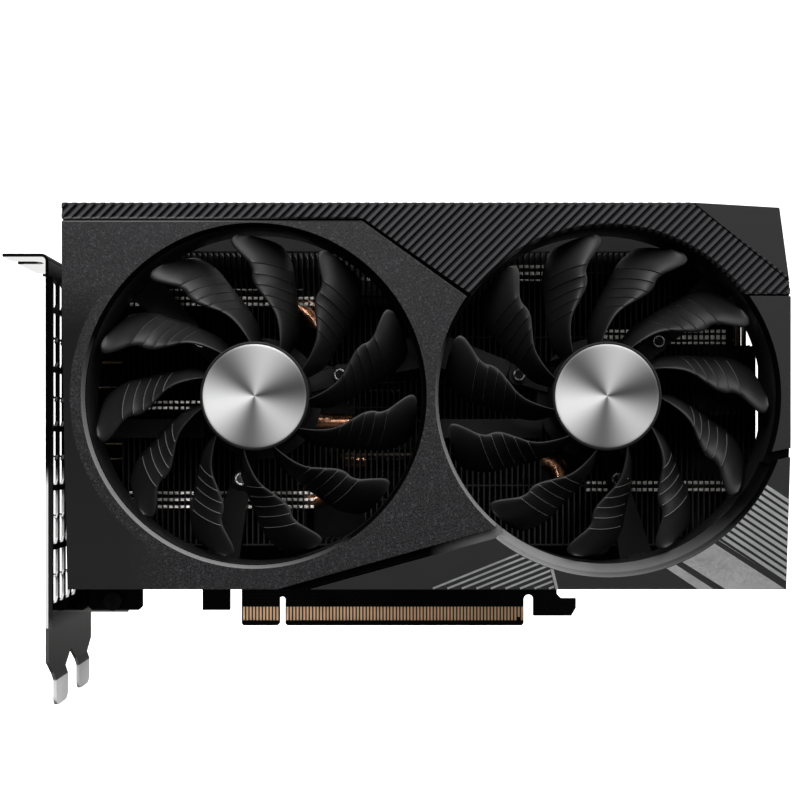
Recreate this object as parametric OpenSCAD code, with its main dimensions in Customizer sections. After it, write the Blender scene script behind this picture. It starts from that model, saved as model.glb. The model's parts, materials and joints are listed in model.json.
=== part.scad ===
// Two-slot graphics card with two axial fans.
// Millimetres. The origin is the centre of the key notch, on the bottom of the contact edge,
// in the middle of the board's thickness. +X runs to the tail, +Y to the solder side, +Z up.

/* [Board] */
// Thickness of the printed circuit board
pcb_thickness = 1.57; // [1:0.01:2.4]
// Height of the board's top edge above the contact edge
pcb_top = 107; // [80:0.5:112]
// Tail end of the board
pcb_tail = 112; // [95:0.5:135]
// Pitch of the edge contacts
contact_pitch = 1; // [1:0.1:1]
// Width of one edge contact
contact_width = 0.7; // [0.4:0.05:0.8]
// Half width of the key notch
key_half = 0.84; // [0.8:0.01:0.95]

/* [Bracket] */
// Width across both slots
bracket_width = 38.74; // [38:0.01:39]
// Sheet thickness
bracket_sheet = 0.86; // [0.8:0.01:1.2]
// Outer face of the bracket
bracket_x = -59.05; // [-60:0.01:-58]
// Far edge of the bracket, behind the board
bracket_back = 2.95; // [2:0.01:4]
// Top of the screw flange
flange_top = 104.55; // [104:0.01:105]
// Length of the screw flange
flange_length = 11.43; // [10:0.01:12]
// Height of one row of vent slots
vent_pitch = 7.97; // [6:0.01:10]

/* [Shroud] */
// Top edge of the shroud above the contact edge
shroud_top = 118.2; // [110:0.1:125]
// Front plane of the shroud
front_y = -35.5; // [-40:0.1:-30]
// Thickness of the decorative panels
panel_t = 1.2; // [0.8:0.1:2]
// Wall thickness of the moulding
wall = 1.6; // [1.2:0.1:2.4]
// Radius of the fan openings at the front
opening_r = 45.85; // [40:0.05:47]
// Spacing of the ribs, measured across them
rib_pitch = 1.78; // [0.8:0.01:2.5]
// Angle of the ribs above the horizontal
rib_angle = 45.2; // [30:0.1:60]

/* [Fans] */
// Height of both fan centres
fan_z = 66.8; // [60:0.1:72]
// Centre of the fan nearest the bracket
left_fan_x = -3.8; // [-8:0.1:0]
// Centre of the fan nearest the tail
right_fan_x = 90.4; // [86:0.1:95]
// Blades on each rotor
blade_count = 11; // [7:1:13]
// Radius over the blade tips
tip_r = 43.5; // [38:0.1:44]
// Outer radius of the hub
hub_r = 14.6; // [12:0.1:18]
// Angle that the blade root trails the tip
sweep = 36; // [0:1:50]

/* [Cooler] */
// Spacing of the fins
fin_pitch = 1.59; // [1.2:0.01:3]
// Thickness of one fin
fin_t = 0.4; // [0.2:0.05:0.6]
// Radius of the heat pipes
pipe_r = 3; // [2:0.1:4]

/* [Output] */
// One sub-part, or all of them

/* [Hidden] */
$fn = 64;
face_y = -pcb_thickness / 2;
back_y = pcb_thickness / 2;
contact_t = 0.05;
bracket_in = bracket_x + bracket_sheet;
bracket_near = bracket_back - bracket_width;
slot_near = bracket_back - 29.53;
slot_far = bracket_back - 9.21;
skin_front = front_y + panel_t;
skin_back = skin_front + 1.8;
wall_end = -9;
duct_r = 45;
rib_start = -117.6;
band_r = 48.3;
band_depth = 3.9;
duct_back = -22.5;
arm_front = -21.6;
motor_y = -19.9;
arm_back = -18.6;
fin_front = -18.5;
fin_back = -7.02;
fin_left = -43.2;
fin_right = 136.2;
fin_low = 25.5;
fin_high = 108.5;
pipe_y = -7;
base_back = -2.8;
plate_y = 2.3;
plate_t = 1;
ear_r = 23.1;
bar_low = 55.8;
bar_high = 61;
left_ears = 16.6;
right_ears = 43.4;
hub_front = front_y + 1.4;
cap_t = 0.5;
slide = 0.04;
eps = 0.01;
gpu = [45, 60];
cooler_holes = [[15, 30], [75, 30], [15, 90], [75, 90]];
memory_spots = [[19, 46], [19, 62], [19, 78], [37, 86], [53, 86], [71, 46]];
post_spots = [[-38, 21.6, face_y], [-46, 112.2, plate_y], [40, 112.2, plate_y],
              [128, 112.2, plate_y], [129, 20.5, plate_y], [58, 20.5, face_y]];
port_z = [85.5, 62.5, 41.5, 20.5];
joggle = 0.7;
tab_x = -50.4;
tab_z = [7.4, 100];
hdmi_size = [5.6, 15];
displayport_size = [5.2, 17];
pins_x = 89.1;
pins_y = [-3.4, -7.6];
pin_pitch = 4.2;
stage_z = [49.5, 68.5, 76];
left_rows = [38.2, 64.2, 95.4];
right_rows = [42.2, 84, 102.2];

// ---- helpers ----

// A profile drawn in X and Z, extruded along +Y from y0.
module upright(y0, t) {
    translate([0, y0 + t, 0])
        rotate([90, 0, 0])
            linear_extrude(height = t)
                children();
}

// A profile drawn in Y and Z, extruded along +X from x0.
module sideways(x0, t) {
    translate([x0, 0, 0])
        rotate([90, 0, 90])
            linear_extrude(height = t)
                children();
}

module block(low, high) {
    translate(low)
        cube(high - low);
}

// A cylinder along Y, from y0 to y1.
module rod_y(x, z, r, y0, y1) {
    translate([x, y1, z])
        rotate([90, 0, 0])
            cylinder(r = r, h = y1 - y0);
}

// A turned profile of radius and y, about the axis along Y through (x, z).
module turned_y(x, z, start = 0, sweep_angle = 360) {
    translate([x, 0, z])
        rotate([90, 0, 0])
            rotate_extrude(angle = sweep_angle, start = start, $fn = 128)
                mirror([0, 1])
                    children();
}

module fan_openings(r) {
    translate([left_fan_x, fan_z])
        circle(r = r, $fn = 128);
    translate([right_fan_x, fan_z])
        circle(r = r, $fn = 128);
}

// ---- shroud ----

module shroud_outline() {
    polygon([[-53.4, 15.33], [-54.9, 88], [-54.9, shroud_top], [112.6, shroud_top], [135.9, 116.8],
             [138.6, 97], [138.95, 93.3], [138.95, 52.9], [137.75, 15.33]]);
}

module shroud_inner() {
    polygon([[-53.4 + wall, 15.33 + wall], [-54.9 + wall, 88], [-54.9 + wall, shroud_top - wall],
             [112.6, shroud_top - wall], [134.5, 115.3], [137, 97], [137.35, 93.3],
             [137.35, 52.9], [136.2, 15.33 + wall]]);
}

// Three tapered arms carry each fan's screw ears, and a level bar guides its wires.
module fan_arms(x, ears) {
    upright(arm_front, arm_back - arm_front)
        translate([x, fan_z])
            for (a = [ears : 120 : ears + 240])
                rotate(a)
                    polygon([[26.4, -2.8], [duct_r + 0.9, -4.6], [duct_r + 0.9, 4.6], [26.4, 2.8]]);
    block([x - 44.4, arm_front + 0.3, bar_low], [x - 15.6, arm_back - 0.3, bar_high]);
}

module fan_seat(x, ears) {
    upright(motor_y, arm_back - motor_y - 0.2)
        translate([x, fan_z])
            difference() {
                union() {
                    circle(r = 17);
                    for (a = [ears : 120 : ears + 240])
                        rotate(a) {
                            translate([10, -2.6])
                                square([18, 5.2]);
                            translate([ear_r, 0])
                                circle(r = 3);
                        }
                }
                circle(r = 9);
                for (a = [ears : 120 : ears + 240])
                    rotate(a)
                        translate([ear_r, 0])
                            circle(r = 1);
            }
}

module duct(x, ears) {
    turned_y(x, fan_z)
        polygon([[duct_r, skin_front], [duct_r + wall, skin_front], [duct_r + wall, duct_back],
                 [duct_r, duct_back]]);
    fan_struts(x, ears);
}

// Short struts that carry the arms and the bar back from the duct's rear edge.
module fan_struts(x, ears) {
    for (a = [ears, ears + 120, ears + 240, 190.6])
        translate([x, 0, fan_z])
            rotate([0, -a, 0])
                block([duct_r - 0.3, duct_back - 1, -2.4], [duct_r + 1.3, arm_back - 0.5, 2.4]);
}

// The flare of a fan opening through the panels, from the duct out to the front.
module opening_flare(x) {
    slope = (opening_r - duct_r) / panel_t;
    turned_y(x, fan_z)
        polygon([[0, front_y - 1], [opening_r + slope, front_y - 1], [duct_r + slide, skin_front],
                 [duct_r + slide, skin_front + 1], [0, skin_front + 1]]);
}

// The wider, deeper flare under the tail-side fan, between the two grooves.
module band_flare(start = 0, sweep_angle = 360) {
    slope = (band_r - duct_r) / band_depth;
    turned_y(right_fan_x, fan_z, start, sweep_angle)
        polygon([[1, front_y - 1], [band_r + slope, front_y - 1],
                 [duct_r - slope * 0.1, front_y + band_depth + 0.1],
                 [1, front_y + band_depth + 0.1]]);
}

module shroud_frame() {
    color([0.07, 0.07, 0.075])
        difference() {
            union() {
                upright(skin_front, 1.8)
                    difference() {
                        shroud_outline();
                        fan_openings(duct_r + 0.8);
                    }
                difference() {
                    upright(skin_front, wall_end - skin_front)
                        shroud_outline();
                    upright(skin_front - 1, wall_end - skin_front + 2)
                        shroud_inner();
                }
                duct(left_fan_x, left_ears);
                duct(right_fan_x, right_ears);
                fan_arms(left_fan_x, left_ears);
                fan_arms(right_fan_x, right_ears);
                fan_seat(left_fan_x, left_ears);
                fan_seat(right_fan_x, right_ears);
                for (p = post_spots)
                    rod_y(p[0], p[1], 3, skin_front + 1, p[2]);
            }
            band_flare(232, 105);
            // screw holes in the posts
            for (p = post_spots)
                rod_y(p[0], p[1], 1.2, p[2] - 8, p[2] + 1);
            // air outlets in the top and bottom walls
            for (x = [-38 : 26 : 40])
                block([x, -19, 110], [x + 20, wall_end + 1, 120]);
            for (x = [-36 : 26 : 120])
                block([x, -19, 10], [x + 20, wall_end + 1, 18]);
            // room for the power plug, and the open tail
            block([82, -15, 112], [108, wall_end + 1, 120]);
            block([134, -14, 36], [142, wall_end + 1, 100]);
        }
}

// The face on the bracket side, up to the grooves that climb towards the tail-side fan.
module main_region() {
    polygon([[-53.4, 15.33], [2.65, 15.33], [60, 31.4], [right_fan_x, fan_z], [52.6, 93.4],
             [24.9, 113.35], [-54.9, 113.35], [-54.9, 88]]);
}

module main_panel() {
    color([0.2, 0.2, 0.21])
        difference() {
            upright(front_y, panel_t - eps)
                main_region();
            opening_flare(left_fan_x);
            opening_flare(right_fan_x);
        }
}

module upper_region() {
    polygon([[-54.9, 113.95], [25.4, 113.95], [53.6, 94.1], [right_fan_x, fan_z],
             [126.4, 93.9], [138.9, 93.9], [138.6, 97], [135.9, 116.8], [112.6, shroud_top],
             [-54.9, shroud_top]]);
}

module ribbed_region() {
    polygon([[-54.9, 113.95], [25.4, 113.95], [53.6, 94.1], [right_fan_x, fan_z],
             [126.4, 93.9], [138.9, 93.9], [138.6, 97], [112.6, shroud_top],
             [-54.9, shroud_top]]);
}

module rib_strips() {
    step = rib_pitch / sin(rib_angle);
    for (x = [rib_start : step : 140])
        translate([x, 93.9])
            rotate(rib_angle)
                square([36, rib_pitch * 0.46]);
}

module ribbed_panel() {
    color([0.13, 0.13, 0.14]) {
        difference() {
            union() {
                upright(front_y + 0.4, panel_t - 0.4 - eps)
                    upper_region();
                upright(front_y, 0.6)
                    intersection() {
                        ribbed_region();
                        rib_strips();
                    }
            }
            opening_flare(right_fan_x);
        }
        // plain corner at the tail
        upright(front_y, 0.6)
            polygon([[113.2, shroud_top - 0.06], [138.5, 97.6], [135.9, 116.8]]);
    }
}

module tail_panel() {
    color([0.16, 0.16, 0.17])
        difference() {
            upright(front_y, panel_t - eps)
                polygon([[126, 93.35], [right_fan_x, fan_z], [133, 51.7], [138.95, 52.9],
                         [138.95, 93.3]]);
            opening_flare(right_fan_x);
        }
}

module lower_region() {
    polygon([[11.36, 15.33], [60.6, 28.9], [right_fan_x, fan_z], [132.6, 49.1],
             [138.85, 50.5], [137.75, 15.33]]);
}

module lower_panel() {
    color([0.15, 0.15, 0.16])
        difference() {
            upright(front_y + 0.08, panel_t - 0.08 - eps)
                lower_region();
            band_flare();
            rod_y(right_fan_x, fan_z, 2, front_y - 1, skin_front + 1);
        }
}

module rising_stripes() {
    for (i = [0 : 8])
        translate([43.9 + 3.86 * i, 15.33])
            rotate(21.8)
                square([46, 0.54]);
}

module falling_stripes() {
    translate([132.2, 43.35])
        for (i = [0 : 12])
            rotate(-33.5)
                translate([-4 - 1.0 * i, -1.6 * i - 0.9])
                    square([34, 0.9]);
}

module stripe_limits() {
    intersection() {
        lower_region();
        polygon([[30, 15.33], [138.5, 15.33], [138.5, 50], [30, 50]]);
    }
}

module foil_stripes() {
    color([0.66, 0.66, 0.68])
        upright(front_y, 0.08 - 0.002)
            difference() {
                intersection() {
                    stripe_limits();
                    union() {
                        intersection() {
                            rising_stripes();
                            polygon([[30, 15], [76.2, 15], [74.8, 21.2], [60, 40], [30, 40]]);
                        }
                        polygon([[76.4, 15.3], [77.2, 15.3], [75.7, 21.4], [74.9, 21.4]]);
                        polygon([[107.9, 22.2], [118.4, 15.4], [114.2, 15.4], [105.2, 21.4]]);
                        polygon([[118.2, 27.8], [137.3, 15.5], [121.6, 15.4], [109.5, 23]]);
                        intersection() {
                            falling_stripes();
                            polygon([[119.4, 28.6], [139, 16], [139, 52], [119.4, 52]]);
                        }
                    }
                }
                translate([right_fan_x, fan_z])
                    circle(r = band_r + 0.1, $fn = 128);
            }
}

// ---- back ----

module backplate() {
    color([0.09, 0.09, 0.1])
        difference() {
            upright(plate_y, plate_t)
                polygon([[-55, 14], [-53, 12], [134, 12], [137, 15], [137, 110], [131, 117.4],
                         [-53, 117.4], [-55, 115.4]]);
            for (p = post_spots) {
                rod_y(p[0], p[1], 1.3, plate_y - 1, plate_y + 2);
                turned_y(p[0], p[1])
                    polygon([[0, plate_y + 0.1], [1.3, plate_y + 0.1], [2.6, plate_y + 1.1],
                             [0, plate_y + 1.1]]);
            }
            for (p = cooler_holes)
                rod_y(p[0], p[1], 4, plate_y - 1, plate_y + 2);
            // air slots over the tail, beyond the board
            for (i = [0 : 7])
                upright(plate_y - 1, 3)
                    translate([115.5, 30 + 9 * i])
                        rotate(-28)
                            square([15, 4]);
            // window over the back of the processor
            upright(plate_y - 1, 3)
                translate(gpu)
                    square([26, 26], center = true);
        }
}

module backplate_screws() {
    color([0.3, 0.3, 0.31])
        for (p = post_spots)
            difference() {
                union() {
                    rod_y(p[0], p[1], 1.18, p[2] < 0 ? -6 : -5, plate_y + 0.2);
                    turned_y(p[0], p[1])
                        polygon([[0, plate_y + 0.15], [1.18, plate_y + 0.15],
                                 [2.35, plate_y + plate_t], [0, plate_y + plate_t]]);
                }
                cross_recess(p[0], p[1], plate_y + plate_t - 0.6, plate_y + plate_t + 1);
            }
}

module cross_recess(x, z, y0, y1) {
    for (a = [0, 90])
        translate([x, 0, z])
            rotate([0, a, 0])
                block([-1.1, y0, -0.25], [1.1, y1, 0.25]);
}

// ---- board ----

module pcb_outline() {
    difference() {
        polygon([[-57.9, pcb_top], [-57.9, 5.6], [-56.9, 4.6], [-42.9, 4.6], [-41.9, 5.6],
                 [-41.9, 12], [-23.9, 12], [-23.9, 4.6], [-15.7, 4.6], [-15.7, 12], [-12.2, 12],
                 [-12.2, 0.6], [-11.6, 0], [-1.44, 0], [-key_half, 0.6], [-key_half, 7.76],
                 [key_half, 7.76], [key_half, 0.6], [1.44, 0], [71.4, 0], [72, 0.6],
                 [72, 7.75], [74.9, 7.75], [74.9, 2.9], [86.2, 2.9], [87.6, 5.3],
                 [87.6, 8.15], [83.2, 8.15], [81.9, 9.45], [81.9, 12], [pcb_tail, 12],
                 [pcb_tail, pcb_top]]);
        translate([0, 7.76])
            circle(r = key_half);
        translate([73.45, 7.75])
            circle(r = 1.45);
        for (p = cooler_holes)
            translate(p)
                circle(r = 1.7);
        for (z = tab_z)
            translate([tab_x, z])
                circle(r = 1.6);
        for (p = post_spots)
            if (p[2] < 0)
                translate([p[0], p[1]])
                    circle(r = 1.3);
    }
}

module pcb() {
    color([0.04, 0.045, 0.04])
        upright(face_y, pcb_thickness)
            pcb_outline();
}

module contact_row(first, last) {
    for (x = [first : contact_pitch : last])
        for (y = [face_y - contact_t, back_y])
            block([x - contact_width / 2, y, x > 70 && x < 71 ? 2.6 : 1.6],
                  [x + contact_width / 2, y + contact_t, 5.6]);
}

module edge_contacts() {
    color([0.83, 0.66, 0.36]) {
        contact_row(-11.5, -1.5);
        contact_row(1.5, 71.5);
    }
}

// ---- bracket ----

// The tip of one tongue, with rounded lower corners.
module tongue_tip(y_mid) {
    translate([y_mid - 5.095, -14.3])
        square([10.19, 4.9]);
    translate([y_mid - 2.8, -16.6])
        square([5.6, 4]);
    for (s = [-1, 1])
        translate([y_mid + s * 2.8, -14.3])
            circle(r = 2.295);
}

// One tongue below the bracket's face: a joggle, and the tip set in behind it.
module tongue(y_mid) {
    upright(y_mid - 5.095, 10.19)
        polygon([[bracket_x, -7.5], [bracket_in, -7.5], [bracket_in + joggle, -9.5],
                 [bracket_x + joggle, -9.5]]);
    sideways(bracket_x + joggle, bracket_sheet)
        tongue_tip(y_mid);
}

module vent_slot(k) {
    lift = k % 2 == 0 ? 1.3 : 0;
    drop = k % 2 == 0 ? 0 : 1.3;
    polygon([[0, -6.4], [0, lift], [1.2, lift], [3.8, 0], [3.8, -6.4 - drop + 1.3],
             [2.6, -6.4 - drop], [1.2, -6.4]]);
}

module port_hole(z, size) {
    translate([face_y - size[0] / 2, z])
        square([size[0] + 0.4, size[1] + 0.6], center = true);
}

module bracket_profile() {
    difference() {
        polygon([[bracket_near, flange_top - 1.9], [bracket_near, -4],
                 [slot_near - 5.095, -7.6], [slot_near + 5.095, -7.6],
                 [(slot_near + slot_far) / 2, -3.6], [slot_far - 5.095, -7.6],
                 [slot_far + 5.095, -7.6], [bracket_back, -4],
                 [bracket_back, flange_top - 1.9]]);
        for (c = [0 : 3])
            for (k = [0 : 10])
                translate([-31.6 + 5.2 * c, 97.2 - vent_pitch * k])
                    vent_slot(k);
        for (i = [0, 3])
            port_hole(port_z[i], hdmi_size);
        for (i = [1, 2])
            port_hole(port_z[i], displayport_size);
    }
}

module bracket() {
    color([0.78, 0.79, 0.8])
        difference() {
            union() {
                sideways(bracket_x, bracket_sheet)
                    bracket_profile();
                tongue(slot_near);
                tongue(slot_far);
                // fold and screw flange
                intersection() {
                    translate([bracket_x - 1.04, bracket_back, flange_top - 1.9])
                        rotate([90, 0, 0])
                            difference() {
                                cylinder(r = 1.9, h = bracket_width);
                                translate([0, 0, -1])
                                    cylinder(r = 1.04, h = bracket_width + 2);
                            }
                    block([bracket_x - 1.04, bracket_near, flange_top - 1.9],
                          [bracket_in, bracket_back, flange_top]);
                }
                block([bracket_x - flange_length, bracket_near, flange_top - bracket_sheet],
                      [bracket_x - 1.04, bracket_back, flange_top]);
                // stiffening lip on the near edge
                block([bracket_x, bracket_near, 4.7],
                      [bracket_in + 1, bracket_near + bracket_sheet, 98.4]);
                // tabs behind the board
                for (z = tab_z)
                    block([bracket_x, back_y + 0.01, z - 3.6],
                          [tab_x + 3.9, back_y + bracket_sheet, z + 3.6]);
            }
            for (y = [slot_near, slot_far]) {
                translate([bracket_x - 5.9, y, 90])
                    cylinder(r = 2.2, h = 20);
                block([bracket_x - 13, y - 2.2, 100], [bracket_x - 5.9, y + 2.2, 110]);
            }
            for (z = tab_z)
                rod_y(tab_x, z, 1.55, 0, 4);
        }
}

module bracket_screws() {
    color([0.72, 0.72, 0.74])
        for (z = tab_z)
            difference() {
                union() {
                    rod_y(tab_x, z, 2.8, face_y - 1.5, face_y);
                    rod_y(tab_x, z, 1.5, face_y - 0.5, 2.2);
                }
                cross_recess(tab_x, z, face_y - 3, face_y - 0.7);
            }
}

// A port shell with its opening towards the bracket, and the tongue inside it.
module port(z, size) {
    y_mid = face_y - size[0] / 2;
    y_out = size[0] / 2 - 0.02;
    z_out = size[1] / 2;
    sheet = 0.5;
    difference() {
        block([bracket_x, y_mid - y_out, z - z_out], [-44, y_mid + y_out, z + z_out]);
        block([bracket_x - 1, y_mid - y_out + sheet, z - z_out + sheet],
              [-46, y_mid + y_out - sheet, z + z_out - sheet]);
    }
    block([bracket_x + 2, y_mid - 0.5, z - z_out + 2.2], [-45.5, y_mid + 0.7, z + z_out - 2.2]);
}

module hdmi_ports() {
    color([0.75, 0.66, 0.45])
        for (i = [0, 3])
            port(port_z[i], hdmi_size);
}

module displayport_ports() {
    color([0.75, 0.66, 0.45])
        for (i = [1, 2])
            port(port_z[i], displayport_size);
}

module power_connector() {
    color([0.03, 0.03, 0.03])
        difference() {
            block([86, -10.4, 94.5], [104.8, face_y, 107.4]);
            for (i = [0 : 3])
                for (y = pins_y)
                    block([pins_x + pin_pitch * i - 1.75, y - 1.75, 96.5],
                          [pins_x + pin_pitch * i + 1.75, y + 1.75, 110]);
        }
}

module power_pins() {
    color([0.8, 0.8, 0.8])
        for (i = [0 : 3])
            for (y = pins_y)
                block([pins_x + pin_pitch * i - 0.5, y - 0.5, 96.5],
                      [pins_x + pin_pitch * i + 0.5, y + 0.5, 105.5]);
}

// ---- components under the cooler ----

module gpu_substrate() {
    color([0.1, 0.25, 0.15])
        upright(face_y - 1.2, 1.2)
            translate(gpu)
                square([34, 34], center = true);
}

module gpu_die() {
    color([0.35, 0.36, 0.4])
        upright(base_back, face_y - 1.2 - base_back)
            translate(gpu)
                square([17, 15], center = true);
}

module memory_chips() {
    color([0.05, 0.05, 0.05])
        for (p = memory_spots)
            upright(face_y - 1.1, 1.1)
                translate(p)
                    square(p[1] > 80 ? [14, 12] : [12, 14], center = true);
}

module memory_pads() {
    color([0.55, 0.6, 0.68])
        for (p = memory_spots)
            upright(base_back, face_y - 1.1 - base_back)
                translate(p)
                    square(p[1] > 80 ? [12, 10] : [10, 12], center = true);
}

module chokes() {
    color([0.2, 0.2, 0.21])
        for (x = [-12, 96], z = stage_z)
            difference() {
                block([x - 3.5, -5.3, z - 3.5], [x + 3.5, face_y, z + 3.5]);
                rod_y(x, z, 1.6, -6, -4.9);
            }
}

module power_stages() {
    color([0.06, 0.06, 0.07])
        for (x = [-3, 86], z = stage_z)
            block([x - 2.5, face_y - 0.9, z - 3], [x + 2.5, face_y, z + 3]);
}

module capacitors() {
    color([0.6, 0.6, 0.62])
        for (x = [-20, 104.5], z = stage_z) {
            rod_y(x, z, 2.9, -6.6, face_y);
            rod_y(x, z, 3.2, -1.8, face_y);
        }
}

// ---- cooler ----

module quarter(x, z, bend, start, end, r) {
    translate([x, pipe_y, z])
        rotate([90, 0, 0])
            rotate_extrude(angle = end, start = start)
                translate([bend, 0])
                    circle(r = r, $fn = 48);
}

module run(x0, x1, z, r) {
    translate([x0, pipe_y, z])
        rotate([0, 90, 0])
            cylinder(r = r, h = x1 - x0, $fn = 48);
}

// Three pipes: the outer two step in to cross the base plate side by side.
module pipe_paths(r) {
    run(-41, 133, 60, r);
    run(-41, 0, 96, r);
    quarter(0, 83, 13, 0, 90, r);
    quarter(26, 83, 13, 180, 90, r);
    run(26, 64, 70, r);
    quarter(64, 78.5, 8.5, 270, 90, r);
    quarter(81, 78.5, 8.5, 90, 90, r);
    run(81, 132.2, 87, r);
    run(-41, 8, 38, r);
    quarter(8, 44, 6, 270, 90, r);
    quarter(20, 44, 6, 90, 90, r);
    run(20, 76, 50, r);
    quarter(76, 44, 6, 0, 90, r);
    quarter(88, 44, 6, 180, 90, r);
    run(88, 133, 38, r);
}

module heat_pipes() {
    color([0.72, 0.42, 0.26])
        pipe_paths(pipe_r);
}

module base_plate() {
    color([0.62, 0.6, 0.58])
        difference() {
            union() {
                block([10, pipe_y, 25], [80, base_back, 95]);
                for (p = cooler_holes)
                    rod_y(p[0], p[1], 2.6, base_back - 1, face_y);
            }
            pipe_paths(pipe_r + 0.02);
            for (p = cooler_holes)
                rod_y(p[0], p[1], 1.2, -5.5, 0);
        }
}

// Room for pipes between x0 and x1, from the lowest run at z0 to the highest at z1.
module pipe_channel(x0, x1, z0, z1) {
    half = pipe_r + 0.2;
    block([x0, pipe_y - half, z0 - half], [x1, 0, z1 + half]);
}

module fin_window(x0, x1, z0, z1, back = 0) {
    block([x0, fin_front - 1, z0], [x1, back, z1]);
}

// A row of folded tabs that ties each fin to the next.
module fin_row(x0, x1, z) {
    block([x0, fin_front + 0.3, z], [x1, fin_front + 1.5, z + 0.4]);
}

// One comb of fins: plates across X, tied by folded strips along their front edges.
module fin_stack() {
    color([0.1, 0.1, 0.1])
        difference() {
            union() {
                for (x = [fin_left : fin_pitch : fin_right - fin_t])
                    block([x, fin_front, fin_low], [x + fin_t, fin_back, fin_high]);
                for (z = [fin_low, fin_high - 0.4])
                    block([fin_left, fin_front, z], [fin_right - 1, fin_front + 1.2, z + 0.4]);
                for (z = left_rows)
                    fin_row(fin_left, 41.5, z);
                for (z = right_rows)
                    fin_row(43, fin_right - 1, z);
            }
            // channels for the straight pipe runs, and pockets for their bends
            pipe_channel(-50, 140, 60, 60);
            pipe_channel(-50, 5, 96, 96);
            pipe_channel(-3, 29, 70, 96);
            pipe_channel(9.4, 79.4, 70, 70);
            pipe_channel(61, 84, 70, 87);
            pipe_channel(78, 132.8, 87, 87);
            pipe_channel(-50, 140, 38, 38);
            pipe_channel(7, 24, 38, 50);
            pipe_channel(-4, 92, 50, 50);
            pipe_channel(72, 89, 38, 50);
            // clearance for the power connector
            block([84, -11.4, 90.6], [107, 0, 115]);
            // windows where the pipes turn, and where the tail pipe ends
            fin_window(8.3, 25, 27, 40.5);
            fin_window(4.5, 12.5, 77, 95.5);
            fin_window(10, 21, 57.5, 65.5);
            fin_window(75.5, 86, 43.5, 53);
            fin_window(129.4, 140, 82, 92, -10.4);
        }
}

// X-shaped spring that pulls the cooler to the processor from behind the board.
module cooler_spring() {
    color([0.55, 0.56, 0.58])
        difference() {
            union() {
                for (a = [45, -45])
                    upright(back_y + 0.05, 0.8)
                        translate(gpu)
                            rotate(a)
                                square([84.85, 6.4], center = true);
                for (p = cooler_holes)
                    rod_y(p[0], p[1], 3.6, back_y + 0.05, back_y + 0.85);
            }
            for (p = cooler_holes)
                rod_y(p[0], p[1], 1.6, 0, 3);
        }
}

module cooler_screws() {
    color([0.68, 0.68, 0.7])
        for (p = cooler_holes)
            difference() {
                union() {
                    rod_y(p[0], p[1], 1.18, -5, back_y + 1);
                    rod_y(p[0], p[1], 2.9, back_y + 0.86, back_y + 2.3);
                }
                cross_recess(p[0], p[1], back_y + 1.5, back_y + 4);
            }
}

// ---- fans ----

module fan_base(x, ears) {
    color([0.05, 0.05, 0.055])
        difference() {
            union() {
                rod_y(x, fan_z, 14, motor_y - 1, motor_y - 0.01);
                rod_y(x, fan_z, 3.3, -31.4, motor_y - 0.5);
                for (a = [ears : 120 : ears + 240])
                    translate([x, 0, fan_z])
                        rotate([0, -a, 0]) {
                            block([10, motor_y - 1, -2.4], [ear_r, motor_y - 0.01, 2.4]);
                            rod_y(ear_r, 0, 2.8, motor_y - 1, motor_y - 0.01);
                        }
            }
            rod_y(x, fan_z, 2.6, -32, -21.6);
            for (a = [ears : 120 : ears + 240])
                translate([x, 0, fan_z])
                    rotate([0, -a, 0])
                        rod_y(ear_r, 0, 1.05, -25, -15);
        }
}

// Four wound poles on a ring round the bearing tube.
module stator(x) {
    color([0.6, 0.36, 0.2])
        difference() {
            union() {
                rod_y(x, fan_z, 5.4, -30.6, -24.6);
                for (a = [0, 90, 180, 270])
                    translate([x, 0, fan_z])
                        rotate([0, a, 0]) {
                            block([4, -29.6, -1.6], [10, -25.6, 1.6]);
                            block([5.6, -30.4, -2.6], [8.8, -24.8, 2.6]);
                        }
                difference() {
                    rod_y(x, fan_z, 10.7, -29.6, -25.6);
                    rod_y(x, fan_z, 9.6, -31, -24);
                    for (a = [45, 135])
                        translate([x, 0, fan_z])
                            rotate([0, a, 0])
                                block([-12, -31, -1.2], [12, -24, 1.2]);
                }
            }
            rod_y(x, fan_z, 3.31, -32, -20);
        }
}

module bearing(x) {
    color([0.72, 0.56, 0.3])
        difference() {
            rod_y(x, fan_z, 2.59, -31.2, -21.7);
            rod_y(x, fan_z, 1 + slide, -32, -21);
        }
}

module shaft(x) {
    color([0.8, 0.8, 0.82])
        rod_y(x, fan_z, 1, -33.2, -21.9);
}

module magnet(x) {
    color([0.15, 0.13, 0.13])
        difference() {
            rod_y(x, fan_z, 12.98, -31.6, -24.6);
            rod_y(x, fan_z, 11.3, -32, -24);
        }
}

module hub_cap(x) {
    color([0.82, 0.82, 0.83])
        turned_y(x, fan_z)
            polygon([[0, hub_front - 0.1], [13.4, hub_front - 0.1], [13.9, hub_front + 0.1],
                     [13.9, hub_front + cap_t - 0.1], [0, hub_front + cap_t - 0.1]]);
}

// Half the blade's projected width at the fraction s of its length.
function half_width(s) = lookup(s, [[0, 2.7], [0.25, 4], [0.5, 6.6], [0.75, 7], [0.9, 5.6], [1, 2.4]]);

// A point on one face of a blade: s runs from root to tip, u across it from -1 to 1.
function blade_point(s, u, side) =
    let (r = 13.4 + (tip_r - 13.4) * s)
    let (h = half_width(s))
    let (a = sweep * (s - 1) + u * h / r * 57.3)
    let (y = -28.2 - u * (4.9 - 1.6 * s) - 1.3 * (1 - u * u) + side * 0.55 * (1.15 - abs(u)))
    [r * cos(a), y, r * sin(a)];

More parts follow.
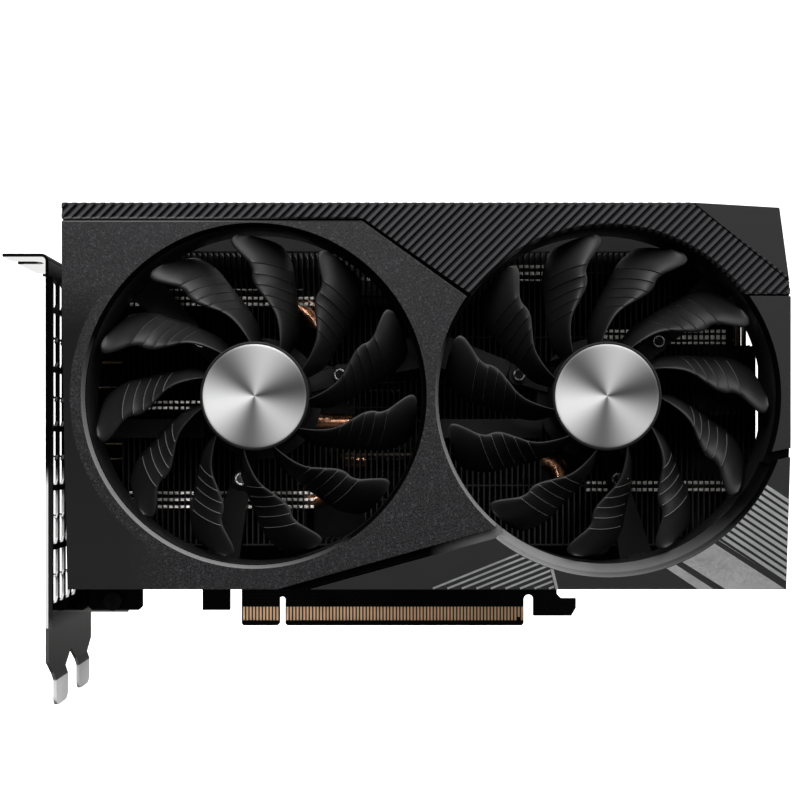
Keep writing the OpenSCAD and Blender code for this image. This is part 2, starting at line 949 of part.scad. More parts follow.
module blade() {
    n = 10;
    m = 6;
    rear = [for (i = [0 : n], j = [0 : m]) blade_point(i / n, 2 * j / m - 1, 1)];
    front = [for (i = [0 : n], j = [0 : m]) blade_point(i / n, 2 * j / m - 1, -1)];
    w = m + 1;
    all = (n + 1) * w;
    faces = concat(
        [for (i = [0 : n - 1], j = [0 : m - 1]) [i * w + j, (i + 1) * w + j, i * w + j + 1]],
        [for (i = [0 : n - 1], j = [0 : m - 1])
            [(i + 1) * w + j, (i + 1) * w + j + 1, i * w + j + 1]],
        [for (i = [0 : n - 1], j = [0 : m - 1])
            [all + i * w + j, all + i * w + j + 1, all + (i + 1) * w + j]],
        [for (i = [0 : n - 1], j = [0 : m - 1])
            [all + (i + 1) * w + j, all + i * w + j + 1, all + (i + 1) * w + j + 1]],
        [for (i = [0 : n - 1], e = [0, m])
            e == 0 ? [i * w, all + i * w, (i + 1) * w]
                   : [i * w + m, (i + 1) * w + m, all + i * w + m]],
        [for (i = [0 : n - 1], e = [0, m])
            e == 0 ? [(i + 1) * w, all + i * w, all + (i + 1) * w]
                   : [(i + 1) * w + m, all + (i + 1) * w + m, all + i * w + m]],
        [for (j = [0 : m - 1], e = [0, n])
            e == 0 ? [j, j + 1, all + j] : [n * w + j, all + n * w + j, n * w + j + 1]],
        [for (j = [0 : m - 1], e = [0, n])
            e == 0 ? [j + 1, all + j + 1, all + j]
                   : [n * w + j + 1, all + n * w + j, all + n * w + j + 1]]
    );
    polyhedron(points = concat(rear, front), faces = faces, convexity = 6);
}

module rotor_blades(first) {
    for (k = [0 : blade_count - 1])
        rotate([0, -(first + 360 * k / blade_count), 0])
            blade();
}

module rotor(x, first, flip) {
    color([0.06, 0.06, 0.065]) {
        difference() {
            turned_y(x, fan_z)
                polygon([[1, hub_front + cap_t], [13.95, hub_front + cap_t], [13.95, hub_front],
                         [hub_r - 0.3, hub_front], [hub_r, hub_front + 0.4], [hub_r, -23],
                         [13, -23], [13, hub_front + 1.9], [3, hub_front + 1.9],
                         [2.6, hub_front + 2.4], [1, hub_front + 2.4]]);
            rod_y(x, fan_z, 0.999, -40, -20);
        }
        translate([x, 0, fan_z])
            mirror([flip, 0, 0])
                rotor_blades(first);
    }
}

module left_fan_base() { fan_base(left_fan_x, left_ears); }
module left_stator() { stator(left_fan_x); }
module left_bearing() { bearing(left_fan_x); }
module left_shaft() { shaft(left_fan_x); }
module left_magnet() { magnet(left_fan_x); }
module left_rotor() { rotor(left_fan_x, 0, 0); }
module left_hub_cap() { hub_cap(left_fan_x); }
module right_fan_base() { fan_base(right_fan_x, right_ears); }
module right_stator() { stator(right_fan_x); }
module right_bearing() { bearing(right_fan_x); }
module right_shaft() { shaft(right_fan_x); }
module right_magnet() { magnet(right_fan_x); }
module right_rotor() { rotor(right_fan_x, 180 + 5.7, 1); }
module right_hub_cap() { hub_cap(right_fan_x); }

module fan_screw(x, a) {
    translate([x, 0, fan_z])
        rotate([0, -a, 0])
            difference() {
                union() {
                    rod_y(ear_r, 0, 1.9, motor_y - 2.2, motor_y - 1);
                    rod_y(ear_r, 0, 0.98, motor_y - 1.5, arm_back - 0.2);
                }
                cross_recess(ear_r, 0, motor_y - 3, motor_y - 1.7);
            }
}

module fan_screws() {
    color([0.75, 0.75, 0.77]) {
        for (turn = [0, 120, 240]) {
            fan_screw(left_fan_x, left_ears + turn);
            fan_screw(right_fan_x, right_ears + turn);
        }
    }
}

shroud_frame();
main_panel();
ribbed_panel();
tail_panel();
lower_panel();
foil_stripes();
backplate();
backplate_screws();
pcb();
edge_contacts();
bracket();
bracket_screws();
hdmi_ports();
displayport_ports();
power_connector();
power_pins();
gpu_substrate();
gpu_die();
memory_chips();
memory_pads();
chokes();
power_stages();
capacitors();
base_plate();
heat_pipes();
fin_stack();
cooler_spring();
cooler_screws();
left_fan_base();
left_stator();
left_bearing();
left_shaft();
left_magnet();
left_rotor();
left_hub_cap();
right_fan_base();
right_stator();
right_bearing();
right_shaft();
right_magnet();
right_rotor();
right_hub_cap();
fan_screws();
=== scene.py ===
"""Looks of a two-slot graphics card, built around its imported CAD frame.

Metres, in the CAD frame: +X to the tail, +Y to the back (the fans face -Y), +Z up, and the
origin at the key notch of the edge connector. Sizes below are written in millimetres times MM.
"""

import json
import math

import bpy
import numpy as np
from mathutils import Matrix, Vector


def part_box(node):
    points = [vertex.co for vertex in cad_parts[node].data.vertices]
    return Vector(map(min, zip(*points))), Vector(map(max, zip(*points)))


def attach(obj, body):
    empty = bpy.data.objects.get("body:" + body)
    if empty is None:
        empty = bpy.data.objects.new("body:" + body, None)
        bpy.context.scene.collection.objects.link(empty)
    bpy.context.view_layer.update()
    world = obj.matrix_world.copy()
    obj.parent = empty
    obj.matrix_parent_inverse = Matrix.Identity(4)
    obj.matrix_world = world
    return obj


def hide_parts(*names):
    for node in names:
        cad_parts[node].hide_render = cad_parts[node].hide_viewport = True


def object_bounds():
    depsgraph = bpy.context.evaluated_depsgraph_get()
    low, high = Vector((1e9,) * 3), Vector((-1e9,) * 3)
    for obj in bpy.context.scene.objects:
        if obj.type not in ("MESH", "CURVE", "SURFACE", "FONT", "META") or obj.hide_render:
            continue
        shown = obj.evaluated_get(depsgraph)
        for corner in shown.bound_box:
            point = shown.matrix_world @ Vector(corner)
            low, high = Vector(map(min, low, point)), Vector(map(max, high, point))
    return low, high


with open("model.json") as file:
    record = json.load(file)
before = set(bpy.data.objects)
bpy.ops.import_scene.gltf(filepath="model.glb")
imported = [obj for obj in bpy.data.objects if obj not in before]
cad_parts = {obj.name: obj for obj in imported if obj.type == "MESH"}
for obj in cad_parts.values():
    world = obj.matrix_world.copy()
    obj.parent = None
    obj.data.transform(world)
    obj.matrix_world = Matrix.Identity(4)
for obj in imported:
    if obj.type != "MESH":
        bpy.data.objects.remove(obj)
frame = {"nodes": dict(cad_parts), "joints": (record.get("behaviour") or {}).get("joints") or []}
cad_low, cad_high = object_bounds()

MM = 0.001
JOINT_AT = {j["name"]: Vector(j["pos_m"]) for j in frame["joints"]}
LEFT_FAN = JOINT_AT["left_fan_spin"]
RIGHT_FAN = JOINT_AT["right_fan_spin"]
FRONT_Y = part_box("main_panel")[0].y

# Dimensions that materials share with the CAD model.
SHEET_X = -59.05 * MM  # outer face of the bracket's upright sheet
CONTACT_PITCH = 1.0 * MM
OPENING_R = 46.0 * MM  # front edge of the flare round each fan opening
BAND_OUTER_R = 48.3 * MM  # outer edge of the wide flare under the tail-side fan
FAN_SCREW_R = 23.1 * MM
FAN_SCREW_ANGLES = ((LEFT_FAN, 16.6), (RIGHT_FAN, 43.4))
RIB_PITCH = 1.78 * MM
RIB_LEAN = math.radians(45.2)
# A point on the lower edge of the first rib, as x and z.
RIB_START = (-117.6 * MM, 93.9 * MM)
# The seams between panels pass from a painted highlight to painted shade between these values of x.
SEAM_HIGHLIGHT_X = -22 * MM
SEAM_SHADE_X = 8 * MM
# Direction of the light that each flare catches, in degrees from +X towards +Z.
OPENING_LIT = 232
BAND_LIT = 238


# ---------------------------------------------------------------- mesh helpers


def add_mesh(name, points, faces, body, replaces, slot, smooth=40):
    """A new piece from points and faces in the CAD frame, riding on a CAD body."""
    mesh = bpy.data.meshes.new(name)
    mesh.from_pydata([tuple(p) for p in points], [], [tuple(int(i) for i in f) for f in faces])
    mesh.validate()
    obj = bpy.data.objects.new(name, mesh)
    bpy.context.scene.collection.objects.link(obj)
    if smooth:
        mesh.shade_smooth()
        mesh.set_sharp_from_angle(angle=math.radians(smooth))
    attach(obj, body)
    if replaces:
        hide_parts(*replaces)
    return obj


def paint(obj, *materials):
    obj.data.materials.clear()
    for m in materials:
        obj.data.materials.append(m)


def soften(obj, width):
    """Small rounded edges on a CAD node, by modifiers that leave its own mesh alone."""
    weld = obj.modifiers.new("weld", "WELD")
    weld.merge_threshold = 2e-6
    flat = obj.modifiers.new("flat", "DECIMATE")
    flat.decimate_type = "DISSOLVE"
    flat.angle_limit = math.radians(0.6)
    bevel = obj.modifiers.new("bevel", "BEVEL")
    bevel.width = width
    bevel.segments = 2
    bevel.limit_method = "ANGLE"
    bevel.angle_limit = math.radians(35)
    bevel.use_clamp_overlap = True
    bevel.harden_normals = True


def polar(centre, radius, degrees, y):
    """A point on a circle about an axis along Y; degrees run from +X towards +Z."""
    a = math.radians(degrees)
    return Vector((centre.x + radius * math.cos(a), y, centre.z + radius * math.sin(a)))


def lathe(profile, centre, steps=128):
    """Points and faces of a closed (radius, y) profile turned about an axis along Y."""
    points, faces = [], []
    n = len(profile)
    for i in range(steps):
        for r, y in profile:
            points.append(polar(centre, r, 360 * i / steps, y))
    for i in range(steps):
        a, b = i * n, (i + 1) % steps * n
        for j in range(n):
            k = (j + 1) % n
            faces.append((a + j, a + k, b + k, b + j))
    return points, faces


# ---------------------------------------------------------------- material helpers


class Nodes:
    """A short way to write a node tree: a new material's, or the one given."""

    def __init__(self, name, tree=None):
        self.tree = tree
        if tree is None:
            self.material = bpy.data.materials.new(name)
            self.material.use_nodes = True
            self.tree = self.material.node_tree
            self.tree.nodes.clear()
            out = self.tree.nodes.new("ShaderNodeOutputMaterial")
            self.shader = self.tree.nodes.new("ShaderNodeBsdfPrincipled")
            self.tree.links.new(self.shader.outputs[0], out.inputs[0])

    def add(self, kind, inputs=None, **settings):
        node = self.tree.nodes.new("ShaderNode" + kind)
        for key, value in settings.items():
            setattr(node, key, value)
        for key, value in (inputs or {}).items():
            self.set(node.inputs[key], value)
        return node

    def set(self, socket, value):
        if isinstance(value, bpy.types.NodeSocket):
            self.tree.links.new(value, socket)
        else:
            socket.default_value = value

    def surface(self, **inputs):
        for key, value in inputs.items():
            self.set(self.shader.inputs[key.replace("_", " ")], value)

    def position(self):
        return self.add("TexCoord").outputs["Object"]

    def round_fan(self, centre):
        """X, distance from a fan's axis, and Z, all in the card's own frame."""
        x, _, z = self.add("SeparateXYZ", {0: self.position()}).outputs
        dx = self.math("SUBTRACT", x, centre.x)
        dz = self.math("SUBTRACT", z, centre.z)
        square = self.math("ADD", self.math("MULTIPLY", dx, dx), self.math("MULTIPLY", dz, dz))
        return x, self.math("SQRT", square), z

    def toward(self, centre, degrees):
        """Cosine of the angle between a point's direction from a fan's axis and the one given."""
        x, radius, z = self.round_fan(centre)
        a = math.radians(degrees)
        along = self.math("MULTIPLY", self.math("SUBTRACT", x, centre.x), math.cos(a))
        up = self.math("MULTIPLY", self.math("SUBTRACT", z, centre.z), math.sin(a))
        return self.math("DIVIDE", self.math("ADD", along, up), radius)

    def blend(self, *masks):
        """Product of several masks."""
        total = masks[0]
        for mask in masks[1:]:
            total = self.math("MULTIPLY", total, mask)
        return total

    def noise(self, scale, detail=3.0, rough=0.6, vector=None):
        vector = vector or self.position()
        node = self.add("TexNoise", {"Scale": scale, "Detail": detail, "Roughness": rough, "Vector": vector})
        return node.outputs["Fac"]

    def cells(self, scale):
        return self.add("TexVoronoi", {"Scale": scale, "Vector": self.position()})

    def ramp(self, value, *stops):
        node = self.add("ValToRGB", {"Fac": value})
        ramp = node.color_ramp
        while len(ramp.elements) < len(stops):
            ramp.elements.new(0.5)
        for element, (at, colour) in zip(ramp.elements, stops):
            element.position = at
            element.color = colour if len(colour) == 4 else (*colour, 1)
        return node.outputs["Color"]

    def span(self, value, low, high, new_low, new_high):
        node = self.add(
            "MapRange",
            {"Value": value, "From Min": low, "From Max": high, "To Min": new_low, "To Max": new_high},
        )
        return node.outputs["Result"]

    def math(self, operation, a, b=0.0):
        node = self.add("Math", operation=operation)
        self.set(node.inputs[0], a)
        self.set(node.inputs[1], b)
        return node.outputs[0]

    def mix(self, factor, a, b):
        node = self.add("Mix", data_type="RGBA")
        self.set(node.inputs["Factor"], factor)
        self.set(node.inputs[6], a)
        self.set(node.inputs[7], b)
        return node.outputs[2]

    def bump(self, height, strength, distance):
        node = self.add("Bump", {"Height": height, "Strength": strength, "Distance": distance})
        return node.outputs["Normal"]


def grey(v):
    return (v, v, v, 1)


def shade(colour, factor):
    return (*[c * factor for c in colour[:3]], 1)


def plastic(name, colour, rough, grain, depth, coat=0.0, shine=0.5):
    """Moulded plastic: a fine spark-eroded grain and a slow drift of colour."""
    n = Nodes(name)
    fine = n.noise(grain, 2.0, 0.7)
    slow = n.noise(60, 2.0)
    tint = n.ramp(slow, (0.35, shade(colour, 0.92)), (0.65, shade(colour, 1.08)))
    n.surface(
        Base_Color=tint,
        Roughness=n.span(fine, 0.3, 0.7, rough - 0.06, rough + 0.08),
        Normal=n.bump(fine, depth, 0.00008),
        Specular_IOR_Level=shine,
        Coat_Weight=coat,
        Coat_Roughness=0.25,
    )
    return n.material


def flare(n, tint, bright, dark):
    """Colour and sheen of a panel with fan openings: their flares are bright where they face the
    studio light and black elsewhere."""
    sheen = 0.3
    for centre in (LEFT_FAN, RIGHT_FAN):
        inside = n.span(n.round_fan(centre)[1], OPENING_R - 0.05 * MM, OPENING_R, 1, 0)
        lit = n.span(n.toward(centre, OPENING_LIT), 0.30, 0.85, 0, 1)
        tint = n.mix(inside, tint, n.mix(lit, dark, bright))
        black = n.math("MULTIPLY", inside, n.math("SUBTRACT", 1.0, lit))
        sheen = n.math("MULTIPLY", n.span(black, 0, 1, 1, 0.05), sheen)
    return tint, sheen


def sloped_panel(name, colour, facet_shade_low, facet_shade_high):
    """Textured panel whose outer corner by the bracket is a smooth facet that falls away, with painted shade
    on it; painted light also marks its rolled top edge and the flares round its openings.
    """
    n = Nodes(name)
    fine = n.noise(2700, 2.0, 0.7)
    spots = n.cells(1900).outputs["Color"]
    fleck = n.ramp(spots, (0.0, grey(0)), (0.70, grey(0)), (0.95, grey(1)))
    tint = n.ramp(fine, (0.36, shade(colour, 0.1)), (0.64, shade(colour, 1.5)))
    tint = n.mix(n.math("MULTIPLY", fleck, 0.55), tint, shade(colour, 3.4))
    x, radius, z = n.round_fan(LEFT_FAN)
    beyond = n.span(radius, 48.7 * MM, 49.1 * MM, 0, 1)
    low = n.span(z, 97 * MM, 84 * MM, 0, 1)
    outer = n.span(x, -24 * MM, -38 * MM, 0, 1)
    facet = n.math("MULTIPLY", beyond, n.math("MULTIPLY", low, outer))
    normal = n.bump(fine, n.span(facet, 0, 1, 0.5, 0.1), 0.00008)
    fall = n.add("VectorMath", {0: (-0.12, 0, -0.12), "Scale": facet}, operation="SCALE").outputs[0]
    tilted = n.add("VectorMath", {0: normal, 1: fall}, operation="ADD").outputs[0]
    # painted shade on the facet, deeper towards its top, which stands for the shade of its slope
    facet_shade = n.mix(n.span(z, 25 * MM, 80 * MM, 0, 1), facet_shade_low, facet_shade_high)
    # the rolled top edge carries a painted highlight by the bracket that fades into painted shade towards the
    # tail
    edge = n.span(z, 112.95 * MM, 113.1 * MM, 0, 1)
    edge_highlight = n.mix(n.span(x, SEAM_HIGHLIGHT_X, SEAM_SHADE_X, 0, 1), grey(0.12), grey(0.004))
    tint = n.mix(edge, n.mix(facet, tint, facet_shade), edge_highlight)
    tint, sheen = flare(n, tint, grey(0.14), grey(0.0015))
    n.surface(
        Base_Color=tint,
        Roughness=n.span(fine, 0.3, 0.7, 0.46, 0.58),
        Specular_IOR_Level=sheen,
        Normal=n.add("VectorMath", {0: tilted}, operation="NORMALIZE").outputs[0],
    )
    return n.material


def ribbed(name, top, groove_shade):
    """Slanted ribs, with a painted highlight on their crests and painted shade between, and plain at the tail
    corner.
    """
    n = Nodes(name)
    fine = n.noise(5200, 2.0, 0.7)
    x, _, z = n.add("SeparateXYZ", {0: n.position()}).outputs
    start = RIB_START[1] * math.cos(RIB_LEAN) - RIB_START[0] * math.sin(RIB_LEAN)
    up = n.math("MULTIPLY", z, math.cos(RIB_LEAN))
    across = n.math("SUBTRACT", up, n.math("MULTIPLY", x, math.sin(RIB_LEAN)))
    # whole pitches are added so that the count of ribs stays above zero
    shifted = n.math("ADD", n.math("SUBTRACT", across, start), 200 * RIB_PITCH)
    phase = n.math("FRACT", n.math("DIVIDE", shifted, RIB_PITCH))
    # painted light across one rib pitch: a lit crest, then a shaded groove
    profile = (
        (0.0, 0.35), (0.06, 0.75), (0.30, 1.0), (0.42, 0.8), (0.52, 0.22),
        (0.72, 0.18), (0.78, 0.0), (0.93, 0.0), (1.0, 0.35),
    )
    crest_light = n.ramp(phase, *[(at, grey(value)) for at, value in profile])
    # the plain corner lies beyond a line from the top edge to the tail
    toward_corner = n.math("ADD", n.math("MULTIPLY", x, 0.611), n.math("MULTIPLY", z, 0.792))
    corner = n.span(toward_corner, 162.4 * MM, 162.7 * MM, 0, 1)
    rim = n.span(z, 117.5 * MM, 117.7 * MM, 0, 1)
    plain = n.math("MAXIMUM", corner, rim)
    tint = n.mix(crest_light, groove_shade, top)
    # painted highlight on the ribs' lowest stretch by the seam, fading into painted shade towards the tail
    seam = n.blend(n.span(z, 114.35 * MM, 114.45 * MM, 1, 0), n.span(x, 24 * MM, 25 * MM, 1, 0))
    seam_highlight = n.mix(n.span(x, SEAM_HIGHLIGHT_X, SEAM_SHADE_X, 0, 1), grey(0.11), grey(0.002))
    n.surface(
        Base_Color=n.mix(seam, n.mix(plain, tint, shade(top, 0.38)), seam_highlight),
        Roughness=n.span(fine, 0.3, 0.7, 0.4, 0.5),
        Specular_IOR_Level=n.span(n.math("MAXIMUM", crest_light, plain), 0, 1, 0.02, 0.3),
        Normal=n.bump(fine, 0.2, 0.00008),
    )
    return n.material


def seamed(name, colour):
    """Black moulding with painted shade in the seams between the panels, a painted highlight along part of
    their length, and the painted light and shade of the flare under the tail-side fan.
    """
    n = Nodes(name)
    fine = n.noise(4200, 2.0, 0.7)
    x, y, z = n.add("SeparateXYZ", {0: n.position()}).outputs
    _, radius, _ = n.round_fan(RIGHT_FAN)
    # near the front face, where it shows in the seams, the moulding is painted near black as shade
    front = n.span(y, FRONT_Y + 1.4 * MM, FRONT_Y + 1.5 * MM, 1, 0)
    beyond_band = n.span(radius, 47.4 * MM, 47.5 * MM, 0, 1)
    within_band = n.span(radius, 47.4 * MM, 47.5 * MM, 1, 0)
    upper = n.blend(n.span(x, SEAM_HIGHLIGHT_X, SEAM_SHADE_X, 1, 0), n.span(z, 112 * MM, 113 * MM, 0, 1))
    lower = n.blend(n.span(x, 43 * MM, 57 * MM, 0, 1), n.span(z, 35 * MM, 36 * MM, 1, 0), beyond_band)
    # the flare under the tail-side fan, with painted light on the bracket side and painted shade towards the
    # tail
    outside_duct = n.span(radius, 45.02 * MM, 45.06 * MM, 0, 1)
    band = n.blend(outside_duct, n.span(z, 53 * MM, 54 * MM, 1, 0), within_band)
    band = n.blend(band, n.span(y, FRONT_Y + 3.9 * MM, FRONT_Y + 4.0 * MM, 1, 0))
    # painted highlight along part of each seam
    pale = n.math("MULTIPLY", front, n.math("MAXIMUM", upper, lower))
    # reflections are turned down where the seams and the flare are painted dark
    shaded_seam = n.math("SUBTRACT", front, pale)
    shaded_band = n.math("MULTIPLY", band, n.span(n.toward(RIGHT_FAN, BAND_LIT), 0.1, 0.7, 1, 0))
    tint = n.mix(pale, n.mix(front, colour, grey(0.001)), grey(0.12))
    n.surface(
        Base_Color=n.mix(band, tint, band_tint(n)),
        Roughness=n.span(fine, 0.3, 0.7, 0.36, 0.5),
        Normal=n.bump(fine, 0.25, 0.00008),
        Specular_IOR_Level=n.span(n.math("MAXIMUM", shaded_seam, shaded_band), 0, 1, 0.4, 0.03),
    )
    return n.material


def band_tint(n):
    """Colour of the wide flare under the tail-side fan, from black to pale where it is lit."""
    stops = ((0.0, 0.001), (0.22, 0.001), (0.6, 0.05), (0.88, 0.085), (0.985, 0.15))
    return n.ramp(n.toward(RIGHT_FAN, BAND_LIT), *[(at, grey(value)) for at, value in stops])


def lower_plate(name, colour):
    """Smooth panel whose round edge belongs to the wide flare under the tail-side fan, and carries its
    painted light and shade.
    """
    n = Nodes(name)
    fine = n.noise(5200, 2.0, 0.7)
    _, radius, _ = n.round_fan(RIGHT_FAN)
    rim = n.span(radius, BAND_OUTER_R - 0.05 * MM, BAND_OUTER_R, 1, 0)
    tint = n.ramp(n.noise(60, 2.0), (0.35, shade(colour, 0.95)), (0.65, shade(colour, 1.05)))
    # reflections are turned down where the rim is painted dark
    shaded_rim = n.math("MULTIPLY", rim, n.span(n.toward(RIGHT_FAN, BAND_LIT), 0.1, 0.7, 0.95, 0))
    n.surface(
        Base_Color=n.mix(rim, tint, band_tint(n)),
        Specular_IOR_Level=n.math("MULTIPLY", 0.3, n.math("SUBTRACT", 1.0, shaded_rim)),
        Roughness=n.span(fine, 0.3, 0.7, 0.4, 0.52),
        Normal=n.bump(fine, 0.15, 0.00008),
    )
    return n.material


def tail_face(name, colour):
    """Smooth panel between the openings' flare and the tail."""
    n = Nodes(name)
    fine = n.noise(3600, 2.0, 0.7)
    tint = n.ramp(fine, (0.3, shade(colour, 0.8)), (0.7, shade(colour, 1.2)))
    tint, sheen = flare(n, tint, grey(0.14), grey(0.0015))
    n.surface(
        Base_Color=tint,
        Specular_IOR_Level=sheen,
        Roughness=n.span(fine, 0.3, 0.7, 0.42, 0.55),
        Normal=n.bump(fine, 0.3, 0.00008),
    )
    return n.material


def bright_nickel(name, colour):
    """Mirror-bright plating drawn along Z, with painted light: a painted dark reflection down the face,
    and a painted white highlight on the tips of the tongues and on the lower stretch of the near edge."""
    n = Nodes(name)
    x, _, z = n.add("SeparateXYZ", {0: n.position()}).outputs
    tips = n.span(z, -9.9 * MM, -9.4 * MM, 1, 0)
    rise = n.blend(n.span(z, 4.8 * MM, 5.2 * MM, 0, 1), n.span(z, 43 * MM, 48 * MM, 1, 0))
    from_edge = n.math("SUBTRACT", x, SHEET_X)
    past_corner = n.span(from_edge, 0.08 * MM, 0.12 * MM, 0, 1)
    edge = n.blend(rise, past_corner, n.span(from_edge, 0.7 * MM, 0.8 * MM, 1, 0))
    # painted white highlight on the tongue tips and on the near edge
    painted_glint = n.math("MAXIMUM", tips, edge)
    face = n.blend(n.span(z, 4 * MM, 8 * MM, 0, 1), n.span(z, 102 * MM, 104 * MM, 1, 0))
    stretch = n.add("Mapping", {"Vector": n.position(), "Scale": (1, 1, 0.08)}).outputs[0]
    drawn = n.noise(1400, 4.0, 0.6, stretch)
    polish = n.ramp(n.noise(90, 3.0), (0.3, shade(colour, 0.9)), (0.7, colour))
    # painted dark reflection down the face
    polish = n.mix(face, polish, grey(0.16))
    n.surface(
        Base_Color=n.mix(painted_glint, polish, grey(0.95)),
        Metallic=n.span(painted_glint, 0, 1, 1.0, 0.1),
        Roughness=n.math("ADD", n.span(drawn, 0.3, 0.7, 0.05, 0.09), n.math("MULTIPLY", painted_glint, 0.4)),
        Normal=n.bump(drawn, 0.03, 0.00003),
    )
    return n.material


def contact_gold(name, colour):
    """Gold flash on the edge contacts, bright down the middle of each and darker at its sides."""
    n = Nodes(name)
    x = n.add("SeparateXYZ", {0: n.position()}).outputs[0]
    phase = n.math("FRACT", n.math("ADD", n.math("DIVIDE", x, CONTACT_PITCH), 100.0))
    away = n.math("ABSOLUTE", n.math("SUBTRACT", phase, 0.5))
    core = n.span(away, 0.2, 0.3, 1, 0)
    slow = n.noise(120, 3.0)
    fine = n.noise(2500, 4.0, 0.6)
    plate = n.ramp(slow, (0.3, shade(colour, 0.85)), (0.7, colour))
    n.surface(
        Base_Color=n.mix(core, shade(colour, 0.3), plate),
        Metallic=0.35,
        Roughness=n.span(fine, 0.3, 0.7, 0.34, 0.48),
        Normal=n.bump(fine, 0.1, 0.00003),
    )
    return n.material


def fin_coat(name, low, high):
    """Dark coated fins, with painted light that makes them paler towards the lower edge, and pale along the
    top edge.
    """
    n = Nodes(name)
    z = n.add("SeparateXYZ", {0: n.position()}).outputs[2]
    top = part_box("fin_stack")[1].z
    # painted light: the coat's colour is paler lower down
    coat = n.mix(n.span(z, 40 * MM, 62 * MM, 0, 1), low, high)
    fine = n.noise(1400, 4.0, 0.6)
    n.surface(
        Base_Color=n.mix(n.span(z, top - 0.42 * MM, top - 0.4 * MM, 0, 1), coat, grey(0.5)),
        Metallic=0.9,
        Roughness=n.span(fine, 0.3, 0.7, 0.32, 0.46),
        Normal=n.bump(fine, 0.1, 0.00003),
    )
    return n.material


def port_shell(name, edge, face):
    """Port cans: dark faces with painted glints, gold in tone, along their upper and lower edges."""
    n = Nodes(name)
    z = n.add("SeparateXYZ", {0: n.position()}).outputs[2]
    edges = []
    for ports, tall in (("hdmi_ports", 15 * MM), ("displayport_ports", 17 * MM)):
        low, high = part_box(ports)
        edges += [low.z, low.z + tall, high.z - tall, high.z]
    # painted glints along the cans' upper and lower edges
    edge_glint = 0.0
    for at in edges:
        away = n.math("ABSOLUTE", n.math("SUBTRACT", z, at))
        edge_glint = n.math("MAXIMUM", n.span(away, 0.35 * MM, 0.5 * MM, 1, 0), edge_glint)
    fine = n.noise(1800, 4.0, 0.6)
    n.surface(
        Base_Color=n.mix(edge_glint, face, edge),
        Metallic=0.4,
        Roughness=n.span(fine, 0.3, 0.7, 0.24, 0.34),
        Normal=n.bump(fine, 0.1, 0.00003),
    )
    return n.material


def bent_copper(name, colour, pipe_shade):
    """Copper pipes: copper-coloured at their bends, and painted dark as shade where the fins grip them."""
    n = Nodes(name)
    x, _, z = n.add("SeparateXYZ", {0: n.position()}).outputs
    bare = 0.0
    for x0, x1, z0, z1 in COPPER_IN_LIGHT:
        mask = n.blend(
            n.span(x, (x0 - 0.5) * MM, x0 * MM, 0, 1),
            n.span(x, x1 * MM, (x1 + 0.5) * MM, 1, 0),
            n.span(z, (z0 - 0.5) * MM, z0 * MM, 0, 1),
            n.span(z, z1 * MM, (z1 + 0.5) * MM, 1, 0),
        )
        bare = n.math("MAXIMUM", mask, bare)
    fine = n.noise(1800, 4.0, 0.6)
    slow = n.noise(90, 3.0)
    polished = n.ramp(slow, (0.3, shade(colour, 0.85)), (0.7, colour))
    # outside the listed places the pipes are painted dark as shade
    n.surface(
        Base_Color=n.mix(bare, pipe_shade, polished),
        Metallic=1.0,
        Roughness=n.span(fine, 0.3, 0.7, 0.24, 0.36),
        Normal=n.bump(fine, 0.1, 0.00003),
    )
    return n.material


def metal(name, colour, rough, scale, drift, streak=(1, 1, 1), depth=0.1, share=1.0):
    """Plated or bare metal with fine drawn streaks and a slowly changing polish."""
    n = Nodes(name)
    stretch = n.add("Mapping", {"Vector": n.position(), "Scale": streak}).outputs[0]
    fine = n.noise(scale, 4.0, 0.6, stretch)
    slow = n.noise(90, 3.0)
    grain = n.span(fine, 0.3, 0.7, rough * 0.8, rough * 1.25)
    n.surface(
        Base_Color=n.ramp(slow, (0.3, shade(colour, 0.9)), (0.7, colour)),
        Metallic=share,
        Roughness=n.math("ADD", grain, n.span(slow, 0.3, 0.7, 0, drift)),
        Normal=n.bump(fine, depth, 0.00003),
    )
    return n.material


def highlit_screw(name, dark, bright):
    """Dark screw heads, each with a patchy painted highlight in a ring near its rim."""
    n = Nodes(name)
    x, _, z = n.add("SeparateXYZ", {0: n.position()}).outputs
    flat = n.add("CombineXYZ", {0: x, 2: z}).outputs[0]
    away = 1.0
    for centre, first in FAN_SCREW_ANGLES:
        for turn in (0, 120, 240):
            middle = polar(centre, FAN_SCREW_R, first + turn, 0)
            reach = n.add("VectorMath", {0: flat, 1: tuple(middle)}, operation="DISTANCE").outputs["Value"]
            away = n.math("MINIMUM", reach, away)
    # painted highlight: a bright ring round each head, broken into arcs by noise
    ring = n.blend(n.span(away, 1.2 * MM, 1.3 * MM, 0, 1), n.span(away, 1.55 * MM, 1.65 * MM, 1, 0))
    highlight_breaks = n.span(n.noise(700, 2.0), 0.42, 0.55, 0.1, 1)
    fine = n.noise(2500, 4.0, 0.6)
    n.surface(
        Base_Color=n.mix(n.math("MULTIPLY", ring, highlight_breaks), dark, bright),
        Metallic=0.5,
        Roughness=n.span(fine, 0.3, 0.7, 0.16, 0.24),
        Normal=n.bump(fine, 0.1, 0.00003),
    )
    return n.material


